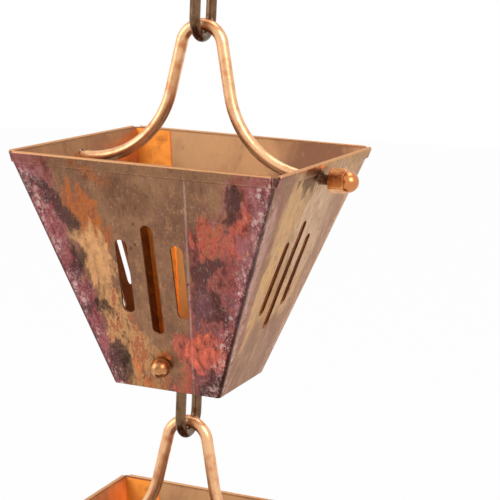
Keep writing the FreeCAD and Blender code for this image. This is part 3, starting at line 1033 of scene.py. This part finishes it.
    def solder_lap(self, draft: Draft) -> None:
        """Shape the left wall's tab, which laps the back wall on the inside."""
        level = self.sheet / math.cos(self.lean)
        rings = []
        low = self.height - self.lap_margin
        for depth, width in ((self.lap_margin, self.lap_width), (low, self.lap_foot_width)):
            half = RIM_WIDTH / 2 - depth * math.tan(self.lean)
            near, far = half - 2 * level, half - level + 0.02
            start, end = level - half, width - half
            outline = [(start, near), (end - 0.3, near), (end - 0.08, near + 0.08), (end, near + 0.3)]
            outline += [(end, far), (start, far)]
            rings.append(draft.add((x, y, -depth) for x, y in outline))
        draft.skin(rings)

    def build(self) -> None:
        """Build the cup and seat it."""
        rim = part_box(f"cup_{self.number}")[1].z / MM
        draft = Draft()
        self.fold_sheet(draft)
        self.fold_hems(draft)
        draft.mark = Mark.SECOND
        self.solder_lap(draft)
        finishes = (self.finish, self.lap_finish, self.cut_finish)
        piece = draft.piece(f"folded_cup_{self.number}", (0, 0, rim), finishes)
        seat(piece, f"cup_{self.number}", f"cup_{self.number}")


@dataclass
class Hanger:
    """A rod bent to an arch with rounded shoulders, its level ends turned down and threaded."""

    number: int
    finish: bpy.types.Material
    thread_finish: bpy.types.Material
    rod: float = 4.8
    rise: float = 55.4
    top_radius: float = 8.7
    leg_spread: float = 11.3
    straight: float = 1.3
    collar: float = 49.48
    nut_seat: float = 55.10
    tip: float = 62.5
    thread_width: float = 4.2

    def path(self) -> list[Vector]:
        """The rod's middle line from one collar to the other."""
        top = self.rise - self.top_radius
        shoulder = self.collar - self.straight
        slope = self.leg_spread / self.rise
        slant = math.hypot(1.0, slope)
        bend = (shoulder - top * slope - self.top_radius * slant) / (slant - slope)
        tilt = math.degrees(math.atan(slope))
        half = arc((0, top), self.top_radius, 90, tilt, 14)
        half += arc((shoulder, bend), bend, 180 + tilt, 270, 22)
        half.append((self.collar - 0.3, 0))
        half.append((self.collar, 0))
        left = [(-x, z) for x, z in reversed(half[1:])]
        return [Vector((x, 0, z)) for x, z in left + half]

    def build(self) -> None:
        """Build the rod and its threads and seat it."""
        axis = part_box(f"hanger_{self.number}")[1].z / MM - self.rise - self.rod / 2
        draft = Draft()
        path = self.path()
        ends = (0, len(path) - 1)
        radius = self.rod / 2
        draft.sweep(path, Vector((0, 1, 0)), lambda n: (radius - (0.25 if n in ends else 0.0),) * 2, 32)
        crest = self.thread_width / 2
        for side in (-1, 1):
            axle = Vector((side, 0, 0))
            draft.mark = Mark.MAIN
            neck = [(self.collar - 0.4, crest + 0.02), (self.collar + 1.4, crest + 0.02)]
            draft.turn(Vector(), axle, neck, None, 28)
            draft.mark = Mark.SECOND
            cut_thread(draft, axle, crest, self.collar - 0.5, self.collar + 0.3, self.nut_seat, self.tip)
        piece = draft.piece(f"bent_hanger_{self.number}", (0, 0, axis), (self.finish, self.thread_finish))
        seat(piece, f"hanger_{self.number}", f"hanger_{self.number}")


@dataclass
class CapNut:
    """A domed hexagon nut."""

    node: str
    body: str
    finish: bpy.types.Material
    start: Vector
    axis: Vector
    flats: float = 8.7
    hex_length: float = 6.2
    neck: float = 0.7
    dome_width: float = 8.4
    bore: float = 2.15
    bore_depth: float = 7.4

    def hexagon(self, along: float, radius: float, angle: float) -> float:
        """Radius of the nut at one place, with its corners turned off at both ends."""
        if radius < self.dome_width / 2 + 0.02 or along > self.hex_length:
            return radius
        half = self.flats / 2
        part = angle % (math.pi / 3) - math.pi / 6
        turned = half * 0.965 + min(along, self.hex_length - along) * 1.75
        return min(half / math.cos(part), half * 1.128, max(turned, self.dome_width / 2))

    def build(self) -> None:
        """Build the nut and seat it."""
        dome = self.dome_width / 2
        corner = self.flats / 2 * 1.16
        rows = bore_rows(self.bore, self.bore_depth, 0.6, 0.35)
        rows += [(along, corner) for along in (0.0, 0.1, 0.2, 0.3, 0.42, 0.56, 0.75, 1.0)]
        rows += [(self.hex_length - along, corner) for along in (1.0, 0.75, 0.56, 0.42, 0.3, 0.2, 0.1, 0.03)]
        middle = self.hex_length + self.neck
        rows += [(self.hex_length + 0.06, dome - 0.16), (self.hex_length + 0.25, dome - 0.04), (middle, dome)]
        rows += [(middle + z, r) for r, z in arc((0, 0), dome, 5, 89.5, 17)]
        draft = Draft()
        draft.turn(Vector(), self.axis, rows, self.hexagon, 72)
        piece = draft.piece(f"domed_{self.node}", self.start, (self.finish,), 24.0)
        seat(piece, self.body, self.node)


@dataclass
class RoundCap:
    """A round domed nut on the end of a cross pin."""

    node: str
    body: str
    finish: bpy.types.Material
    start: Vector
    axis: Vector
    width: float = 7.6
    neck: float = 1.4
    bore: float = 2.15
    bore_depth: float = 3.9

    def build(self) -> None:
        """Build the nut and seat it."""
        radius = self.width / 2
        rows = bore_rows(self.bore, self.bore_depth, 0.4, 0.3)
        rows += [(0.0, radius - 0.25), (0.08, radius - 0.08), (0.25, radius), (self.neck, radius)]
        rows += [(self.neck + z, r) for r, z in arc((0, 0), radius, 5, 89.5, 17)]
        draft = Draft()
        draft.turn(Vector(), self.axis, rows, None, 48)
        piece = draft.piece(f"round_{self.node}", self.start, (self.finish,), 24.0)
        seat(piece, self.body, self.node)


@dataclass
class CrossPin:
    """The rod through a cup's foot that carries the link, threaded at both ends."""

    number: int
    finish: bpy.types.Material
    thread_finish: bpy.types.Material
    width: float = 4.2
    thread_start: float = 18.0
    nut_seat: float = 27.42

    def build(self) -> None:
        """Build the pin and seat it."""
        height = middle_height(f"cross_pin_{self.number}")
        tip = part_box(f"cross_pin_{self.number}")[1].y / MM
        radius = self.width / 2
        draft = Draft()
        draft.turn(
            Vector((0, -self.thread_start, 0)),
            Vector((0, 1, 0)),
            [(along, radius) for along in (0.0, self.thread_start, self.thread_start * 2)],
            None,
            32,
        )
        draft.mark = Mark.SECOND
        for side in (-1, 1):
            start = self.thread_start
            cut_thread(draft, Vector((0, side, 0)), radius, start, start, self.nut_seat, tip)
        piece = draft.piece(f"threaded_pin_{self.number}", (0, 0, height), (self.finish, self.thread_finish))
        seat(piece, f"cup_{self.number}", f"cross_pin_{self.number}")


@dataclass
class StirrupLink:
    """A wire bent to a U whose two legs end in flattened, drilled eyes on the cross pin."""

    number: int
    finish: bpy.types.Material
    wire: float = 4.18
    width: float = 15.5
    drop: float = 33.5
    eye: float = 10.0
    eye_thickness: float = 3.4
    bore: float = 2.2
    eye_round: float = 0.6
    leg_top: float = 3.6
    forged: float = 11.0
    forged_spread: float = 1.5

    def build(self) -> None:
        """Build the link and seat it."""
        height = middle_height(f"cross_pin_{self.number}")
        half = self.width / 2
        middle = half - self.drop
        levels = steps_between(-self.leg_top, -self.forged, 0.6) + [middle + 6, middle + 2]
        right = [(half, z) for z in levels]
        bend = arc((0, middle), half, 0, -180, 28)
        flat_path = right + bend + [(-half, z) for z in reversed(levels)]
        path = [Vector((0, y, z)) for y, z in flat_path]
        radius = self.wire / 2

        def widths(number: int) -> Pair:
            """Flatten the wire as it nears an eye."""
            share = max(0.0, 1 - (-self.leg_top - flat_path[number][1]) / (self.forged - self.leg_top))
            spread = share * share * (3 - 2 * share)
            thinned = spread * (radius - self.eye_thickness / 2 + 0.05)
            return radius + spread * self.forged_spread, radius - thinned

        draft = Draft()
        draft.sweep(path, Vector((1, 0, 0)), widths, 28)
        outer, thick, soft = self.eye / 2, self.eye_thickness / 2, self.eye_round
        profile = [(thick - soft + y, outer - soft + r) for r, y in arc((0, 0), soft, 0, 90, 5)]
        profile += [(thick, self.bore + 0.3), (thick - 0.3, self.bore)]
        ring = profile + [(-along, reach) for along, reach in reversed(profile)]
        for side in (-1, 1):
            rings = []
            for step in range(40):
                angle = 2 * math.pi * step / 40
                sine, cosine = math.sin(angle), math.cos(angle)
                rings.append(draft.add((reach * cosine, side * half + y, reach * sine) for y, reach in ring))
            draft.skin(rings, True)
        piece = draft.piece(f"stirrup_link_{self.number}", (0, 0, height), (self.finish,))
        seat(piece, f"link_{self.number}", f"link_{self.number}")


@dataclass
class TopLink:
    """The closed oval link at the head of the chain, bent from wire with a butt joint in one leg."""

    finish: bpy.types.Material
    wire: float = 4.2
    width: float = 15.5
    joint_gap: float = 0.12

    def build(self) -> None:
        """Build the link and seat it."""
        low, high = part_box("top_link")
        height = middle_height("top_link")
        half, radius = self.width / 2, self.wire / 2
        run = (high.z - low.z) / 2 / MM - radius - half
        joint = [(half, z) for z in (-0.35, -self.joint_gap, 0.0, self.joint_gap, 0.35)]
        flat_path = joint + arc((0, run), half, 0, 180, 28) + arc((0, -run), half, 180, 360, 28)
        path = [Vector((0, y, z)) for y, z in flat_path]

        def widths(number: int) -> Pair:
            """Narrow the wire at the joint."""
            cut = {1: 0.05, 2: 0.35, 3: 0.05}.get(number, 0.0)
            return radius - cut, radius - cut

        draft = Draft()
        draft.sweep(path, Vector((1, 0, 0)), widths, 28, True)
        piece = draft.piece("oval_top_link", (0, 0, height), (self.finish,))
        seat(piece, "top_link", "top_link")


@dataclass
class Studio:
    """Pale floor, white surroundings, soft lamps and the camera."""

    floor_drop: float = 0.10
    floor_reach: float = 6.0
    camera_place: Colour = (0.24188, -0.55251, -0.16101)
    camera_aim: Colour = (0.02306, 0.00121, -0.27552)
    camera_roll: float = 2.481
    lens: float = 111.88

    def lay_floor(self) -> None:
        """Lay a pale floor that stays white to the camera and keeps a soft shadow."""
        level = CAD_BOX[0].z - self.floor_drop
        draft = Draft()
        ring = draft.add((x * 1000, y * 1000, 0) for x, y in arc((0, 0), self.floor_reach, 0, 350, 35))
        draft.face(ring)
        material = bpy.data.materials.new("pale_floor")
        material.use_nodes = True
        bench = Bench(material.node_tree)
        seen = self.seen(bench)
        plain = bench.node("ShaderNodeBsdfDiffuse", None, {"Color": (0.86, 0.86, 0.86)})
        white = bench.node("ShaderNodeEmission", None, {"Color": (1, 1, 1), "Strength": 1.0})
        shade = bench.node(
            "ShaderNodeMixShader", None, {"Fac": seen * 0.97, "Shader": plain, "Shader_001": white}
        )
        bench.node("ShaderNodeOutputMaterial", None, {"Surface": shade})
        floor = draft.piece("floor", (0, 0, level / MM), (material,))
        log.info("floor at %.3f m", level)

    @staticmethod
    def seen(bench: Bench) -> Sock:
        """One for rays that show the background: from the camera, from gloss and through glass."""
        kinds = ("Is Camera Ray", "Is Glossy Ray", "Is Transmission Ray")
        camera, gloss, glass = (bench.node("ShaderNodeLightPath", None, None, kind) for kind in kinds)
        return bench.math("MAXIMUM", bench.math("MAXIMUM", camera, gloss), glass)

    def light_world(self) -> None:
        """Give the surroundings a plain level and a white look."""
        world = bpy.data.worlds.new("white_surroundings")
        world.use_nodes = True
        bench = Bench(world.node_tree)
        dim = bench.node("ShaderNodeBackground", None, {"Color": (1, 1, 1), "Strength": 0.55})
        white = bench.node("ShaderNodeBackground", None, {"Color": (1, 1, 1), "Strength": 1.0})
        shade = bench.node(
            "ShaderNodeMixShader", None, {"Fac": self.seen(bench), "Shader": dim, "Shader_001": white}
        )
        bench.node("ShaderNodeOutputWorld", None, {"Surface": shade})
        bpy.context.scene.world = world

    @staticmethod
    def hang_lamp(name: str, place: Colour, aim: Colour, size: float, power: float) -> None:
        """Hang one square soft lamp.

        Args:
            name: Name of the lamp.
            place: Where it is, in metres.
            aim: Where it points.
            size: Side of its panel.
            power: Watts.
        """
        data = bpy.data.lights.new(name, "AREA")
        data.shape = "SQUARE"
        data.size = size
        data.energy = power
        lamp = bpy.data.objects.new(name, data)
        lamp.location = place
        lamp.rotation_mode = "QUATERNION"
        lamp.rotation_quaternion = (Vector(aim) - Vector(place)).to_track_quat("-Z", "Y")
        bpy.context.scene.collection.objects.link(lamp)

    def set_camera(self) -> None:
        """Stand the camera where the picture was taken from."""
        data = bpy.data.cameras.new("camera")
        data.lens = self.lens
        data.sensor_width = 36.0
        data.clip_start = 0.01
        camera = bpy.data.objects.new("camera", data)
        camera.location = self.camera_place
        look = (Vector(self.camera_aim) - Vector(self.camera_place)).to_track_quat("-Z", "Y")
        camera.rotation_mode = "QUATERNION"
        camera.rotation_quaternion = look @ Quaternion((0, 0, 1), math.radians(self.camera_roll))
        bpy.context.scene.collection.objects.link(camera)
        bpy.context.scene.camera = camera

    def build(self) -> None:
        """Set the whole studio up."""
        self.set_camera()
        self.lay_floor()
        self.light_world()
        middle = (0.0, 0.0, -0.32)
        self.hang_lamp("key", (1.3, -0.9, 0.7), middle, 0.9, 16.0)
        self.hang_lamp("fill", (-1.4, -1.0, 0.3), middle, 1.2, 9.0)
        self.hang_lamp("top", (0.1, 0.3, 1.3), middle, 1.0, 10.0)
        bpy.context.scene.view_settings.view_transform = "Standard"


def own_marks() -> tuple[Flame, ...]:
    """Heat marks of the cup in the middle of the picture, laid as they are on it, and a lighter wash over its
    right wall that is partly painted light.

    Returns:
        The marks of its front and right walls, in the order in which they are laid.
    """
    front, right = Wall.FRONT, Wall.RIGHT
    return (
        Flame(front, (-0.45, 0.00), (-0.24, 0.88), 0.15, Tint.DUSTY_PINK, 0.85, 1.0, Tint.MAUVE),
        Flame(front, (0.42, -0.02), (0.33, 0.30), 0.20, Tint.ROSE, 0.9, 1.0, Tint.MAUVE),
        Flame(front, (0.28, 0.24), (0.19, 0.90), 0.25, Tint.ROSE, 0.9, 1.0, Tint.PLUM),
        Flame(front, (-0.21, 0.03), (-0.14, 0.09), 0.11, Tint.ORANGE, 0.6, 1.0, Tint.UMBER),
        Flame(front, (-0.28, 0.12), (-0.17, 0.30), 0.12, Tint.ORANGE, 0.95, 0.8, Tint.RUST),
        Flame(front, (-0.24, 0.26), (-0.19, 0.48), 0.14, Tint.TAN, 1.0, 0.7),
        Flame(front, (-0.19, 0.46), (-0.07, 0.78), 0.13, Tint.TAN, 0.95, 0.9, Tint.RUST),
        Flame(front, (-0.08, 0.66), (-0.05, 0.92), 0.16, Tint.GOLD, 0.85, 1.0, Tint.RUST),
        Flame(front, (-0.11, 0.76), (-0.09, 0.92), 0.10, Tint.GOLD, 0.8, 1.0, Tint.ORANGE),
        Flame(front, (-0.39, 0.10), (-0.28, 0.26), 0.09, Tint.CHARCOAL, 0.9, 1.1),
        Flame(front, (-0.29, 0.30), (-0.29, 0.46), 0.09, Tint.CHARCOAL, 0.9, 1.1, Tint.PLUM),
        Flame(front, (-0.25, 0.52), (-0.18, 0.60), 0.10, Tint.CHARCOAL, 0.9, 1.1),
        Flame(front, (-0.17, 0.70), (-0.155, 0.86), 0.07, Tint.CHARCOAL, 0.9, 1.0),
        Flame(front, (-0.10, 0.04), (-0.06, 0.18), 0.16, Tint.UMBER, 0.5, 1.1),
        Flame(front, (0.165, 0.03), (0.110, 0.86), 0.007, Tint.BLOOM, 0.28, 0.0),
        Flame(front, (0.335, 0.05), (0.290, 0.20), 0.055, Tint.CHARCOAL, 0.85, 1.0),
        Flame(front, (0.36, 0.14), (0.33, 0.32), 0.09, Tint.CORAL, 0.8, 1.0, Tint.ROSE),
        Flame(front, (0.25, 0.20), (0.22, 0.32), 0.11, Tint.CORAL, 0.75, 1.0, Tint.RUST),
        Flame(front, (0.25, 0.33), (0.17, 0.43), 0.11, Tint.CHARCOAL, 0.8, 1.1),
        Flame(front, (0.20, 0.48), (0.23, 0.57), 0.13, Tint.CHARCOAL, 0.85, 1.1, Tint.PLUM),
        Flame(front, (0.19, 0.62), (0.19, 0.74), 0.13, Tint.CORAL, 0.9, 1.0),
        Flame(front, (0.09, 0.64), (0.08, 0.86), 0.05, Tint.CORAL, 0.55, 1.0),
        Flame(front, (0.19, 0.75), (0.17, 0.88), 0.09, Tint.CHARCOAL, 0.9, 1.0),
        Flame(front, (0.44, 0.05), (0.36, 0.42), 0.08, Tint.MAUVE, 0.75),
        # A wash over the whole right wall, partly its own khaki tone and partly painted light: the right wall
        # is painted lighter than the front because it is lit more.
        Flame(right, (0.02, -0.2), (0.02, 1.1), 0.9, Tint.KHAKI, 1.0, 0.3, Tint.SAND),
        Flame(right, (-0.24, 0.08), (-0.12, 0.70), 0.13, Tint.SAND, 0.85, 0.8, Tint.STRAW),
        Flame(right, (-0.43, -0.1), (-0.19, 1.0), 0.15, Tint.DRAB, 0.95, 0.6, Tint.MAUVE),
        Flame(right, (0.12, 0.06), (0.10, 0.42), 0.34, Tint.PALE, 0.8, 0.8),
        Flame(right, (0.32, 0.10), (0.17, 0.86), 0.12, Tint.DRAB, 0.75, 0.8, Tint.LAVENDER),
        Flame(right, (0.02, 0.60), (-0.02, 0.98), 0.34, Tint.DRAB, 0.95, 0.8, Tint.LAVENDER),
        Flame(right, (-0.08, 0.36), (-0.06, 0.62), 0.16, Tint.BRASS, 0.5, 0.8),
        Flame(right, (-0.40, 0.12), (-0.23, 0.90), 0.07, Tint.BLOOM, 0.35, 1.1),
        Flame(right, (-0.19, -0.03), (-0.09, 0.11), 0.17, Tint.SOOT_AND_SHADE, 0.9, 1.1),
    )


def drawn_marks(seed: int, walls: Sequence[Wall], warm: Tint, dark: Tint, red: Tint) -> tuple[Flame, ...]:
    """Heat marks drawn by chance: on each wall a flame, its dark rim and one reddened side.

    Args:
        seed: Start of the chance numbers.
        walls: Walls to mark.
        warm: Colour of the flames.
        dark: Colour of their rims.
        red: Colour of the reddened side.

    Returns:
        The marks, in the order in which they are laid.
    """
    chance = random.Random(seed)
    marks = []
    for wall in walls:
        hand = chance.choice((-1, 1))
        start = hand * chance.uniform(0.14, 0.26)
        waist = chance.uniform(0.24, 0.36)
        low = chance.uniform(0.52, 0.68)
        broad = chance.uniform(0.16, 0.26)
        side = ((-0.38 * hand, 0.02), (-0.20 * hand, 0.88))
        marks.append(Flame(wall, *side, broad, red, 0.85, 1.0, Tint.PLUM, True))
        high = chance.uniform(0.03, 0.14)
        head = ((start * 1.2, high), (start * 0.8, waist))
        marks.append(Flame(wall, *head, 0.12, warm, 0.9, 0.9, Tint.RUST, True))
        heart = ((start, waist - 0.04), (start * 0.7, low))
        marks.append(Flame(wall, *heart, 0.13, Tint.TAN, 0.9, 0.8, None, True))
        tail = ((start * 0.6, low - 0.1), (-0.02, 0.88))
        marks.append(Flame(wall, *tail, 0.13, Tint.TAN, 0.8, 1.0, Tint.RUST, True))
        for deep in (chance.uniform(0.06, 0.16), chance.uniform(0.34, 0.52)):
            at = start + hand * chance.uniform(0.08, 0.12) * (1 - deep)
            length = chance.uniform(0.16, 0.30)
            thick = chance.uniform(0.06, 0.10)
            run = ((at, deep), (at * 0.9, deep + length))
            marks.append(Flame(wall, *run, thick, dark, 0.9, 1.1, Tint.PLUM, True))
        for spot, blotch in ((Tint.CORAL, Tint.ROSE), (dark, Tint.PLUM)):
            deep = chance.uniform(0.10, 0.66)
            at = -hand * chance.uniform(0.14, 0.34) * (1.1 - deep)
            length = chance.uniform(0.14, 0.30)
            thick = chance.uniform(0.06, 0.11)
            run = ((at, deep), (at * 0.9, deep + length))
            marks.append(Flame(wall, *run, thick, spot, 0.85, 1.1, blotch, True))
    return tuple(marks)


def cup_finishes() -> list[FlameCopper]:
    """The flame finish of each cup from the top down.

    Returns:
        Five finishes of one family.
    """
    families = (
        (Tint.TAUPE, Tint.GREY_TAUPE, Tint.MAUVE, Tint.ORANGE, Tint.CHARCOAL, Tint.ROSE),
        (Tint.TAUPE, Tint.GREY_TAUPE, Tint.DUSTY_PINK, Tint.ORANGE, Tint.CHARCOAL, Tint.ROSE),
        (Tint.BROWN_GOLD, Tint.UMBER, Tint.MAUVE, Tint.GOLD, Tint.UMBER, Tint.PLUM),
        (Tint.TAUPE, Tint.UMBER, Tint.ROSE, Tint.ORANGE, Tint.CHARCOAL, Tint.ROSE),
        (Tint.DEEP_BROWN, Tint.UMBER, Tint.MAUVE, Tint.TAN, Tint.CHARCOAL, Tint.ROSE),
    )
    finishes = []
    for number, (ground, shade, edge, *drawn) in enumerate(families, 1):
        own = own_marks() if number == PICTURED_CUP else ()
        walls = (Wall.BACK, Wall.LEFT) if own else tuple(Wall)
        marks = own + drawn_marks(10 + number, walls, *drawn)
        finishes.append(FlameCopper(f"flame_copper_{number}", number, ground, shade, edge, marks))
    return finishes


def main() -> None:
    """Build the studio and the chain, piece by piece."""
    logging.basicConfig(level=logging.INFO, format="%(name)s: %(message)s")
    Studio().build()
    drawn = PlainMetal("drawn_copper", Tint.ROD, Tint.ROD_DULL, 0.38, 0.30, (5, 5, 5), 0.08).material()
    polished = PlainMetal(
        "polished_copper", Tint.NUT, Tint.NUT_DULL, 0.52, 0.15, (0.6, 7, 7), 0.1, tip=Tint.NUT_TIP
    ).material()
    aged = PlainMetal(
        "aged_bronze", Tint.BRONZE, Tint.BRONZE_DULL, 0.5, 0.2, (4, 4, 1), 0.2, 0.92, 0.2
    ).material()
    thread = PlainMetal(
        "dark_thread", Tint.THREAD, Tint.THREAD_DULL, 0.5, 0.36, (3, 3, 3), 0.4, 0.9
    ).material()
    lap = PlainMetal(
        "lap_copper", Tint.LAP, Tint.LAP_DULL, 0.35, 0.32, (0.5, 0.5, 0.1), 0.2
    ).material()
    cut = PlainMetal(
        "fresh_cut_copper", Tint.FRESH_CUT, Tint.FRESH_CUT_DULL, 0.5, 0.4, (2, 2, 2), 0.4
    ).material()
    worn = PlainMetal("worn_copper", Tint.WORN, Tint.WORN_DULL, 0.5, 0.22, (3, 3, 3), 0.35).material()

    TopLink(aged).build()
    for number, finish in enumerate(cup_finishes(), 1):
        Hanger(number, drawn, thread).build()
        Cup(number, finish.material(), lap, cut).build()
        CrossPin(number, drawn, thread).build()
        level = middle_height(f"hanger_nut_right_{number}")
        foot = middle_height(f"pin_nut_front_{number}")
        left_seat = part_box(f"hanger_nut_left_{number}")[1].x / MM
        front_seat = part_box(f"pin_nut_front_{number}")[1].y / MM
        for name, side in (("left", -1), ("right", 1)):
            start = Vector((-side * left_seat, 0, level))
            node, axis = f"hanger_nut_{name}_{number}", Vector((side, 0, 0))
            CapNut(node, f"hanger_{number}", polished, start, axis).build()
        for name, side in (("front", -1), ("back", 1)):
            start = Vector((0, -side * front_seat, foot))
            node, axis = f"pin_nut_{name}_{number}", Vector((0, side, 0))
            RoundCap(node, f"cup_{number}", worn, start, axis).build()
        StirrupLink(number, aged).build()


if __name__ == "__main__":
    main()
